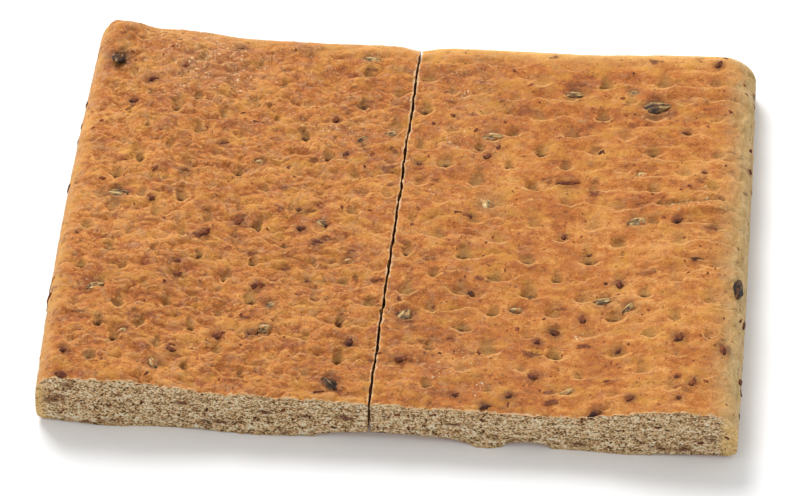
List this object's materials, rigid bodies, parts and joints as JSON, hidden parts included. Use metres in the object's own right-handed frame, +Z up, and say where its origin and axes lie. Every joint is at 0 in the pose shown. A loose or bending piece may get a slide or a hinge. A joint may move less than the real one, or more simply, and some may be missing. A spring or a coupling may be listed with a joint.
{
  "type": "focaccia",
  "caption": "Flat rectangular slab of seeded focaccia with a dimpled, browned top, round baked edges and a cut front, sliced through into halves that lie together.",
  "frame": {"origin": "middle of the slab's underside, on the surface it rests on", "axes": "+X along the slab to the right, +Y from the cut front to the baked back, +Z up"},
  "size_m": [0.38, 0.29, 0.0355],
  "materials": {
    "crust": "baked bread crust, matte with a faint sheen"
  },
  "bodies": {
    "root": {"left_half": "crust", "right_half": "crust"}
  },
  "joints": []
}
